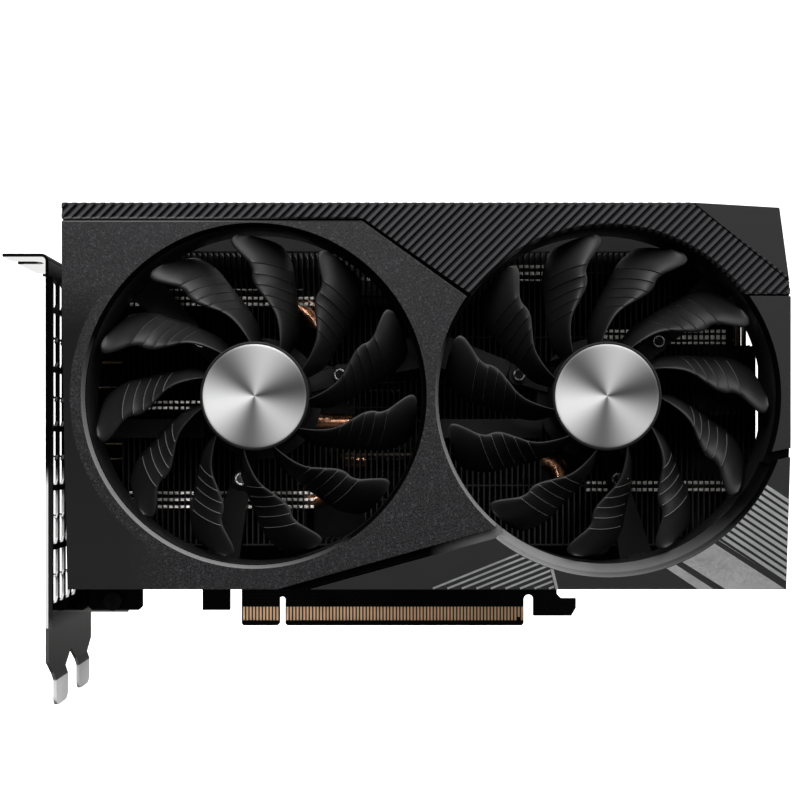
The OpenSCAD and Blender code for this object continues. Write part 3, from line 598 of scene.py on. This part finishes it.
def solder_mask(name):
    """Black lacquer over copper: traces show as low, slightly glossier steps."""
    n = Nodes(name)
    turned = n.add("Mapping", {"Vector": n.position(), "Rotation": (math.radians(90), 0, 0)}).outputs[0]
    laid = {"Scale": 240.0, "Mortar Size": 0.06, "Vector": turned}
    bricks = n.add("TexBrick", {**laid, "Color1": grey(1), "Color2": grey(0.7), "Mortar": grey(0)})
    vias = n.cells(700).outputs["Distance"]
    height = n.math("ADD", bricks.outputs["Fac"], n.span(vias, 0.0, 0.12, 1, 0))
    n.surface(
        Base_Color=n.ramp(height, (0.0, (0.0022, 0.0024, 0.0024)), (1.0, (0.005, 0.0054, 0.0052))),
        Roughness=n.span(n.noise(2500), 0.3, 0.7, 0.4, 0.5),
        Normal=n.bump(height, 0.25, 0.00003),
        Specular_IOR_Level=0.12,
    )
    return n.material


# Painted light and shade round a hub cap, as (degrees from +X towards +Z, value).
CAP_PAINTED_WEDGES = ((12, 0.077), (75, 0.66), (135, 0.121), (195, 1.1), (262, 0.165), (317, 0.748), (371.9, 0.077))


def spun_metal(name, centre):
    """Silver cap: rings left by turning, and three wedges of painted light and shade round it."""
    n = Nodes(name)
    place = n.add("NewGeometry").outputs["Position"]
    p = n.add("VectorMath", {0: place, 1: tuple(centre)}, operation="SUBTRACT").outputs[0]
    x, _, z = n.add("SeparateXYZ", {0: p}).outputs
    radius = n.math("SQRT", n.math("ADD", n.math("MULTIPLY", x, x), n.math("MULTIPLY", z, z)))
    rings = n.noise(9000, 3.0, 0.8, n.add("CombineXYZ", {0: radius}).outputs[0])
    # the angle round the cap as 0 to 1, from its first dark wedge
    first = CAP_PAINTED_WEDGES[0][0]
    turned = n.math("ARCTAN2", z, x)
    share = n.math("FRACT", n.math("ADD", n.math("DIVIDE", turned, 2 * math.pi), 1 - first / 360))
    node = n.add("ValToRGB", {"Fac": share})
    node.color_ramp.interpolation = "EASE"
    while len(node.color_ramp.elements) < len(CAP_PAINTED_WEDGES):
        node.color_ramp.elements.new(0.5)
    for element, (degrees, value) in zip(node.color_ramp.elements, CAP_PAINTED_WEDGES):
        element.position = (degrees - first) / 360
        element.color = grey(value)
    fine = n.ramp(rings, (0.3, grey(0.94)), (0.7, grey(1.0)))
    tint = n.add("Mix", {"Factor": 1.0, 6: node.outputs[0], 7: fine}, data_type="RGBA", blend_type="MULTIPLY")
    n.surface(
        Base_Color=tint.outputs[2],
        Metallic=0.35,
        Roughness=n.span(rings, 0.3, 0.7, 0.42, 0.55),
        Normal=n.bump(rings, 0.12, 0.00002),
    )
    return n.material


# ---------------------------------------------------------------- materials

# Places where the pipes show their copper; elsewhere they are painted dark as shade. As x from and to, then z
# from and to, in millimetres.
COPPER_IN_LIGHT = (
    (8.3, 25, 27, 40.5), (4.5, 12.5, 88, 95.5), (10, 21, 57.5, 65.5), (19, 25, 44, 50),
    (75.5, 92, 40, 53), (66, 78, 88, 102), (126, 133, 82, 92),
)
TEXTURED = sloped_panel("textured_panel", (0.0228, 0.0228, 0.0246), grey(0.0215), grey(0.0088))
LOWER = lower_plate("lower_plate", (0.0225, 0.0225, 0.023, 1))
TAIL = tail_face("tail_face", (0.0205, 0.0205, 0.0212, 1))
RIBBED = ribbed("ribbed_panel", (0.057, 0.057, 0.061, 1), (0.0028, 0.0028, 0.003, 1))
BLACK = seamed("black_moulding", (0.007, 0.007, 0.0075, 1))
BLADE = plastic("fan_blade", (0.007, 0.007, 0.0073), 0.46, 5200, 0.12, shine=0.35)
# the blades' steps get a lighter copy of the blade plastic, a painted highlight along each raised line
STEP_HIGHLIGHT = plastic("blade_step_highlight", (0.105, 0.105, 0.108), 0.34, 5200, 0.05)
FAN_BLACK = plastic("fan_moulding", (0.009, 0.009, 0.0095), 0.5, 4200, 0.25, shine=0.3)
NYLON = plastic("socket_nylon", (0.012, 0.012, 0.012), 0.55, 3000, 0.3)
EPOXY = plastic("moulded_epoxy", (0.015, 0.015, 0.016), 0.6, 3000, 0.4)
LAMINATE = plastic("green_laminate", (0.01, 0.07, 0.03), 0.35, 2500, 0.15, coat=0.3)
PAD = plastic("thermal_pad", (0.22, 0.27, 0.36), 0.8, 1500, 0.6)
FERRITE = plastic("pressed_ferrite", (0.05, 0.05, 0.052), 0.65, 2600, 0.8)
POWDER = plastic("powder_coat", (0.008, 0.008, 0.0083), 0.6, 2300, 0.7, shine=0.2)
MASK = solder_mask("solder_mask")
HIGHLIT_SCREW = highlit_screw("highlit_screw", grey(0.02), grey(0.85))
NICKEL = bright_nickel("bright_nickel", (0.78, 0.78, 0.77, 1))
FOIL = metal("silver_foil", (0.80, 0.80, 0.81, 1), 0.42, 3000, 0.05)
STEEL = metal("screw_steel", (0.62, 0.62, 0.63, 1), 0.24, 2500, 0.08)
BLACK_STEEL = metal("black_steel", (0.03, 0.03, 0.03, 1), 0.16, 2500, 0.04)
DARK_STEEL = metal("dark_steel", (0.32, 0.32, 0.33, 1), 0.16, 2500, 0.04)
GOLD = contact_gold("gold_flash", (0.95, 0.62, 0.36, 1))
GLINTING_SHELL = port_shell("glinting_shell", (0.95, 0.78, 0.50, 1), (0.010, 0.008, 0.006, 1))
TIN = metal("tin_plate", (0.88, 0.86, 0.82, 1), 0.3, 2200, 0.1, share=0.6)
COPPER = bent_copper("copper_with_painted_shade", (0.80, 0.40, 0.24, 1), (0.012, 0.010, 0.009, 1))
ANODISED = metal("dark_anodised_plate", (0.05, 0.05, 0.052, 1), 0.35, 1800, 0.08, (0.1, 1, 1))
WINDING = metal("enamelled_copper", (0.50, 0.20, 0.08, 1), 0.35, 3000, 0.1)
BRONZE = metal("sintered_bronze", (0.50, 0.34, 0.16, 1), 0.45, 3500, 0.1, depth=0.4)
MAGNET = metal("bonded_magnet", (0.07, 0.065, 0.065, 1), 0.6, 3000, 0.05, depth=0.3)
SILICON = metal("polished_silicon", (0.22, 0.23, 0.27, 1), 0.12, 1000, 0.03)
FIN_BLACK = fin_coat("coated_fin", (0.078, 0.076, 0.073, 1), (0.012, 0.012, 0.012, 1))

NODE_LOOK = {
    "shroud_frame": (BLACK, 0.15),
    "main_panel": (TEXTURED, 0.2),
    "ribbed_panel": (RIBBED, 0.05),
    "tail_panel": (TAIL, 0.2),
    "lower_panel": (LOWER, 0.1),
    "foil_stripes": (FOIL, 0.0),
    "backplate": (POWDER, 0.2),
    "backplate_screws": (DARK_STEEL, 0.05),
    "pcb": (MASK, 0.08),
    "edge_contacts": (GOLD, 0.0),
    "bracket": (NICKEL, 0.28),
    "bracket_screws": (BLACK_STEEL, 0.12),
    "hdmi_ports": (GLINTING_SHELL, 0.1),
    "displayport_ports": (GLINTING_SHELL, 0.1),
    "power_connector": (NYLON, 0.15),
    "power_pins": (TIN, 0.1),
    "gpu_substrate": (LAMINATE, 0.05),
    "gpu_die": (SILICON, 0.03),
    "memory_chips": (EPOXY, 0.08),
    "memory_pads": (PAD, 0.1),
    "chokes": (FERRITE, 0.3),
    "power_stages": (EPOXY, 0.06),
    "capacitors": (TIN, 0.3),
    "base_plate": (ANODISED, 0.2),
    "heat_pipes": (COPPER, 0.0),
    "fin_stack": (FIN_BLACK, 0.0),
    "cooler_spring": (STEEL, 0.12),
    "cooler_screws": (STEEL, 0.12),
    "fan_screws": (HIGHLIT_SCREW, 0.12),
}
for side in ("left", "right"):
    NODE_LOOK[side + "_fan_base"] = (FAN_BLACK, 0.12)
    NODE_LOOK[side + "_stator"] = (WINDING, 0.1)
    NODE_LOOK[side + "_bearing"] = (BRONZE, 0.08)
    NODE_LOOK[side + "_shaft"] = (STEEL, 0.1)
    NODE_LOOK[side + "_magnet"] = (MAGNET, 0.1)

for node, (look, edge) in NODE_LOOK.items():
    obj = frame["nodes"][node]
    paint(obj, look)
    if edge:
        soften(obj, edge * MM)


# ---------------------------------------------------------------- fans

HUB_R = 14.6 * MM
CAP_R = 13.9 * MM
BLADES = 11
# The next sizes of a blade are in plain millimetres. It is rooted inside the hub.
ROOT_R = 13.4
TIP_R = 43.5
# Both edges of a blade as (radius, degrees from its tip corner).
LEADING = (
    (ROOT_R, -37.5), (18, -29.5), (23.4, -20.5), (26.4, -13.6), (29.5, -8.4), (31.8, -6.9),
    (33.8, -7.0), (35.6, -5.6), (38.2, -2.4), (41.6, 0.6), (TIP_R, 0.6),
)
TRAILING = ((ROOT_R, -43.5), (18.6, -41.7), (25, -33.8), (30.6, -27.8), (38.2, -22), (TIP_R, -15.6))
# Raised lines across a blade: where each starts, how high, how sudden, and how soon it fades.
RIDGES = (24.4, 27.1, 29.8, 32.6, 35.6)
RIDGE_HEIGHT = 0.42
RIDGE_STEP = 0.12
RIDGE_FADE = 0.8
# The leading edge's depth in the frame, and how far back the blade sweeps to its trailing edge.
BLADE_FRONT_Y = -33.5
BLADE_SWEEP = 9.6
BLADE_HALF_THICKNESS = 0.75
BLADE_EDGE_HALF_THICKNESS = 0.12
ACROSS = 25  # points from one edge of a blade to the other


def smooth_through(table, x):
    """Catmull-Rom through a short table of (x, value)."""
    xs = np.array([t[0] for t in table], float)
    ys = np.array([t[1] for t in table], float)
    slopes = np.gradient(ys, xs)
    i = np.clip(np.searchsorted(xs, x) - 1, 0, len(xs) - 2)
    h = xs[i + 1] - xs[i]
    t = np.clip((x - xs[i]) / h, 0, 1)
    return (
        (2 * t**3 - 3 * t**2 + 1) * ys[i]
        + (t**3 - 2 * t**2 + t) * h * slopes[i]
        + (-2 * t**3 + 3 * t**2) * ys[i + 1]
        + (t**3 - t**2) * h * slopes[i + 1]
    )


def blade_radii():
    """Stations along a blade, closer together at each raised line and at the tip."""
    spacing = 0.9
    plain = np.arange(ROOT_R, TIP_R - spacing, spacing)
    plain = [r for r in plain if all(not -0.2 < r - q < spacing for q in RIDGES)]
    fine = [q + d for q in RIDGES for d in (-RIDGE_STEP, 0.0, RIDGE_STEP / 2, RIDGE_STEP, 0.3, 0.6)]
    tip = [TIP_R - d for d in (spacing, 0.5, 0.2, 0.0)]
    return np.array(sorted(plain + fine + tip))


def blade_grid(side):
    """One face of a blade as a grid of points about the fan axis, in millimetres."""
    radii = blade_radii()
    u = np.linspace(0, 1, ACROSS)
    u = 0.5 - 0.5 * np.cos(np.pi * u)
    r, w = np.meshgrid(radii, u, indexing="ij")
    lead = smooth_through(LEADING, r)
    trail = smooth_through(TRAILING, r)
    # the tip corners are rounded by drawing both edges in over the last stretch
    rounded = 1.4
    end = np.clip((r - TIP_R + rounded) / rounded, 0, 1)
    pull = 1 - np.sqrt(np.clip(1 - end**2, 0, 1))
    middle = (lead + trail) / 2
    lead = lead + (middle - lead) * 0.3 * pull
    trail = trail + (middle - trail) * 0.4 * pull
    angle = np.radians(lead + (trail - lead) * w)
    lean_back = 0.9 * np.clip((r - 36) / 8, 0, 1) ** 2
    depth = BLADE_FRONT_Y + BLADE_SWEEP * w**1.55 + lean_back
    middle_share = np.sqrt(np.clip(1 - (2 * w - 1) ** 4, 0, 1))
    thick = BLADE_HALF_THICKNESS * middle_share + BLADE_EDGE_HALF_THICKNESS
    ridge = np.zeros_like(r)
    for q in RIDGES:
        # a sharp step up that faces the hub, then a slow fall
        ridge += np.clip((r - q) / RIDGE_STEP, 0, 1) * np.exp(-np.clip(r - q, 0, None) / RIDGE_FADE)
    fade = np.clip(np.minimum(w - 0.03, 0.95 - w) / 0.1, 0, 1)
    depth = depth + side * thick - (side < 0) * ridge * fade * RIDGE_HEIGHT
    return np.stack([r * np.cos(angle), depth, r * np.sin(angle)], -1)


def closed_blade():
    """Points and faces of one blade, both sides joined along every edge, and which faces are steps."""
    front = blade_grid(-1)
    back = blade_grid(1)
    radii = blade_radii()
    n, m = front.shape[:2]
    points = np.concatenate([front.reshape(-1, 3), back.reshape(-1, 3)])
    k = n * m
    faces, steps = [], set()
    for i in range(n - 1):
        middle = (radii[i] + radii[i + 1]) / 2
        rising = any(0 < middle - q < RIDGE_STEP for q in RIDGES)
        for j in range(m - 1):
            a, b, c, d = i * m + j, (i + 1) * m + j, (i + 1) * m + j + 1, i * m + j + 1
            if rising and 3 < j < m - 6:
                steps.add(len(faces))
            faces.append((a, b, c, d))
            faces.append((k + a, k + d, k + c, k + b))
    for i in range(n - 1):
        faces.append((i * m, k + i * m, k + (i + 1) * m, (i + 1) * m))
        a, b = i * m + m - 1, (i + 1) * m + m - 1
        faces.append((a, b, k + b, k + a))
    for j in range(m - 1):
        faces.append((j, j + 1, k + j + 1, k + j))
        a = (n - 1) * m + j
        faces.append((a, k + a, k + a + 1, a + 1))
    return points, faces, steps


def blade_set(side, centre, first, flip):
    """Eleven blades as one piece; flip mirrors them left to right."""
    points, faces, steps = closed_blade()
    all_points, all_faces = [], []
    for k in range(BLADES):
        a = math.radians(first + 360 * k / BLADES)
        turn = np.array([[math.cos(a), 0, -math.sin(a)], [0, 1, 0], [math.sin(a), 0, math.cos(a)]])
        p = points @ turn.T
        base = len(all_points) * len(points)
        if flip:
            p = p * (-1, 1, 1)
            all_faces += [tuple(base + i for i in reversed(f)) for f in faces]
        else:
            all_faces += [tuple(base + i for i in f) for f in faces]
        all_points.append(p)
    placed = np.concatenate(all_points) * MM + np.array([centre.x, 0, centre.z])
    replaced = (side + "_rotor",)
    blades = add_mesh(side + "_blades", placed, all_faces, side + "_rotor_body", replaced, "fan_blades", 50)
    paint(blades, BLADE, STEP_HIGHLIGHT)
    for i, face in enumerate(blades.data.polygons):
        face.material_index = int(i % len(faces) in steps)


def hub_cup(side, centre):
    """The cup that carries the blades, with a seat for the silver cap and a rounded rim round it."""
    cap_low, cap_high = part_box(side + "_hub_cap")
    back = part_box(side + "_rotor")[1].y
    rim = cap_low.y + 0.1 * MM
    seat_r = CAP_R + 0.05 * MM
    wall_r = HUB_R - 1.6 * MM
    bore_r = 2 * MM
    floor = rim + 2 * MM
    profile = [
        (seat_r, cap_high.y),
        (seat_r, rim + 0.06 * MM),
        (CAP_R + 0.11 * MM, rim),
        (HUB_R - 0.25 * MM, rim),
        (HUB_R - 0.1 * MM, rim + 0.05 * MM),
        (HUB_R, rim + 0.25 * MM),
        (HUB_R, back - 0.4 * MM),
        (HUB_R - 0.15 * MM, back),
        (HUB_R - 1.45 * MM, back),
        (wall_r, back - 0.2 * MM),
        (wall_r, floor),
        (bore_r, floor),
        (bore_r, cap_high.y),
    ]
    hub = add_mesh(side + "_hub", *lathe(profile, centre), side + "_rotor_body", (), "fan_blades")
    paint(hub, BLADE)


def silver_cap(side, centre):
    """A very shallow dome with a rounded edge."""
    low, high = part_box(side + "_hub_cap")
    pole = 0.01 * MM
    rise, rise_r = 0.10 * MM, 13.4 * MM
    dome = [(r * MM, low.y + rise * (r * MM / rise_r) ** 2) for r in (0.01, 2, 4, 6, 8, 10, 12, 13.2)]
    dome += [
        (CAP_R - 0.2 * MM, low.y + 0.13 * MM),
        (CAP_R - 0.05 * MM, low.y + 0.2 * MM),
        (CAP_R, low.y + 0.3 * MM),
        (CAP_R, high.y),
        (pole, high.y),
    ]
    body = side + "_rotor_body"
    cap = add_mesh(side + "_cap", *lathe(dome, centre, 192), body, (side + "_hub_cap",), "cap")
    paint(cap, spun_metal(side + "_spun_silver", Vector((centre.x, low.y, centre.z))))


def fan_rotor(side, centre, first, flip):
    """Blades, hub and cap, which turn together."""
    blade_set(side, centre, first, flip)
    hub_cup(side, centre)
    silver_cap(side, centre)


fan_rotor("left", LEFT_FAN, 0, False)
# mirrored, so its blades are counted from -X
fan_rotor("right", RIGHT_FAN, 180 + 5.7, True)


# ---------------------------------------------------------------- fin tabs

FIN_PITCH = 1.59 * MM
FIN_T = 0.4 * MM
TAB_PROUD = 0.02 * MM
# Rings of a tab from its back to its face, as (inset, distance behind the face).
TAB_RINGS = ((0.0, 0.35 * MM), (0.08 * MM, 0.08 * MM), (0.22 * MM, 0.0))
# Rows of tabs as (height of the row's middle, rise of its tabs, x from and to), in millimetres.
TAB_ROWS = (
    (36.4, 0.95, -50, 12), (38.4, 0.95, -50, 12), (40.3, 0.95, -50, 12),
    (64.3, 0.95, -50, -14), (65.9, 0.95, -50, -14),
    (93.5, 1.0, -50, 12), (95.2, 0.9, -50, 12), (97.6, 0.45, -34, 8), (100.6, 0.9, 22, 27),
    (41.2, 0.95, 87, 128), (43.2, 0.95, 87, 128),
    (82.6, 0.7, 86, 127), (84.2, 1.3, 86, 127), (85.9, 0.95, 86, 127),
    (100.3, 0.5, 66, 81), (102.2, 0.95, 66, 81), (104.1, 0.95, 66, 81),
)


def tab(x, z, y, rise):
    """One folded tab between two fins: a closed, shallow pillow with sloping sides."""
    wide = FIN_PITCH - FIN_T
    points = []
    for inset, depth in TAB_RINGS:
        for u, v in ((0, 0), (1, 0), (1, 1), (0, 1)):
            across = x + u * wide + (1 - 2 * u) * inset
            points.append((across, y + depth, z + v * rise + (1 - 2 * v) * inset))
    faces = [(8, 9, 10, 11), (3, 2, 1, 0)]
    for ring in (0, 4):
        for i in range(4):
            j = (i + 1) % 4
            faces.append((ring + i, ring + j, ring + 4 + j, ring + 4 + i))
    return points, faces


def fin_tabs():
    """Rows of bright tabs along the front of the fins, in step with the fins' own spacing."""
    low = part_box("fin_stack")[0]
    points, faces = [], []
    for z, rise, start, stop in TAB_ROWS:
        first = max(0, math.ceil((start * MM - low.x) / FIN_PITCH))
        for k in range(first, int((stop * MM - low.x) / FIN_PITCH)):
            left = low.x + k * FIN_PITCH + FIN_T
            p, f = tab(left, (z - rise / 2) * MM, low.y - TAB_PROUD, rise * MM)
            faces += [tuple(len(points) + i for i in face) for face in f]
            points += p
    paint(add_mesh("fin_tabs", points, faces, "card", (), "fins", 0), TIN)


fin_tabs()


# ---------------------------------------------------------------- stage, light and camera


KEY_DIRECTION = Vector((0.64, -0.14, 0.76)).normalized()
KEY_STRENGTH = 3.2
FILL_STRENGTH = 0.008
CENTRE = (cad_low + cad_high) / 2


def seen_or_felt(n, seen, felt):
    """A value of `seen` for camera rays and `felt` for every other ray."""
    camera_ray = n.add("LightPath").outputs["Is Camera Ray"]
    other_ray = n.math("SUBTRACT", 1.0, camera_ray)
    return n.math("ADD", n.math("MULTIPLY", camera_ray, seen), n.math("MULTIPLY", other_ray, felt))


def stage_floor():
    """A pale floor that runs up into a pale wall behind."""
    low = cad_low.z - 1.5 * MM
    size = 3.0
    flat_to = 1.2
    radius = 0.5
    steps = 12
    profile = [(-size, low), (flat_to, low)]
    for i in range(1, steps + 1):
        a = math.radians(90 * i / steps)
        profile.append((flat_to + radius * math.sin(a), low + radius * (1 - math.cos(a))))
    profile.append((flat_to + radius, low + size))
    points = [(x, y, z) for x in (-size, size) for y, z in profile]
    n = len(profile)
    mesh = bpy.data.meshes.new("floor")
    mesh.from_pydata(points, [], [(i, i + 1, n + i + 1, n + i) for i in range(n - 1)])
    mesh.shade_smooth()
    floor = bpy.data.objects.new("floor", mesh)
    bpy.context.scene.collection.objects.link(floor)
    n = Nodes("pale_floor")
    tint = seen_or_felt(n, 0.8, 0.02)
    pale = n.add("CombineColor", {0: tint, 1: tint, 2: tint}).outputs[0]
    n.surface(Base_Color=pale, Roughness=0.9, Emission_Color=grey(1.0))
    # a pale card low on the bracket side, which its screw flange reflects
    x, y, _ = n.add("SeparateXYZ", {0: n.position()}).outputs
    card = n.math("MULTIPLY", n.span(x, -0.16, -0.12, 1.0, 0.0), n.span(y, -0.05, 0.05, 0.0, 1.0))
    n.set(n.shader.inputs["Emission Strength"], seen_or_felt(n, 1.0, card))
    paint(floor, n.material)


def light_scene():
    """White behind for the camera; for everything else a dark studio with one wide soft light."""
    world = bpy.data.worlds.new("studio")
    world.use_nodes = True
    n = Nodes("studio", world.node_tree)
    back = world.node_tree.nodes["Background"]
    back.inputs["Color"].default_value = (1, 1, 1, 1)
    way = n.add("TexCoord").outputs["Generated"]
    facing = n.add("VectorMath", {0: way, 1: tuple(KEY_DIRECTION)}, operation="DOT_PRODUCT")
    spread = {"From Min": 0.42, "From Max": 0.95, "To Min": 0.0, "To Max": KEY_STRENGTH}
    spread["Value"] = facing.outputs["Value"]
    key = n.add("MapRange", spread, interpolation_type="SMOOTHSTEP")
    felt = n.math("ADD", key.outputs["Result"], FILL_STRENGTH)
    n.set(back.inputs["Strength"], seen_or_felt(n, 1.0, felt))
    bpy.context.scene.world = world

    front_at = CENTRE + Vector((-0.12, -0.35, 0.42))
    area_light("front_box", front_at, CENTRE + Vector((0, 0, 0.02)), 0.30, 2.3)
    # the card's back, which the front lights leave dark
    plates = ("backplate", "backplate_screws", "pcb", "base_plate", "cooler_spring", "cooler_screws")
    back_pieces = [frame["nodes"][node] for node in plates]
    area_light("back_box", CENTRE + Vector((0.15, 0.45, 0.30)), CENTRE, 0.35, 6.0, back_pieces)
    # polished metal that lies in the shroud's shade, lit on its own
    metalwork = [frame["nodes"][node] for node in ("edge_contacts", "heat_pipes", "fan_screws")]
    metalwork.append(bpy.data.objects["fin_tabs"])
    low_at = CENTRE + Vector((-0.10, -0.35, -0.15))
    area_light("low_box", low_at, CENTRE + Vector((0, 0, -0.06)), 0.20, 3.0, metalwork)


def area_light(name, at, target, size, watts, only=None):
    """A square softbox that the camera does not see, and that may light just a few pieces."""
    data = bpy.data.lights.new(name, "AREA")
    data.shape = "SQUARE"
    data.size = size
    data.energy = watts
    light = bpy.data.objects.new(name, data)
    light.location = at
    light.rotation_euler = (target - at).to_track_quat("-Z", "Y").to_euler()
    light.visible_camera = False
    if only:
        group = bpy.data.collections.new(name + "_lit")
        for piece in only:
            group.objects.link(piece)
        light.light_linking.receiver_collection = group
    bpy.context.scene.collection.objects.link(light)


def place_camera():
    """Level camera a little under 32 cm in front of the card, framed a little above its axis."""
    data = bpy.data.cameras.new("camera")
    data.sensor_width = 36
    data.lens = 47.64
    data.shift_y = 0.0625
    data.clip_start = 0.01
    camera = bpy.data.objects.new("camera", data)
    camera.location = Vector((35.07, -316.8, 52.39)) * MM
    camera.rotation_euler = (math.radians(90), 0, 0)
    bpy.context.scene.collection.objects.link(camera)
    bpy.context.scene.camera = camera


stage_floor()
light_scene()
place_camera()
bpy.context.scene.view_settings.view_transform = "Standard"
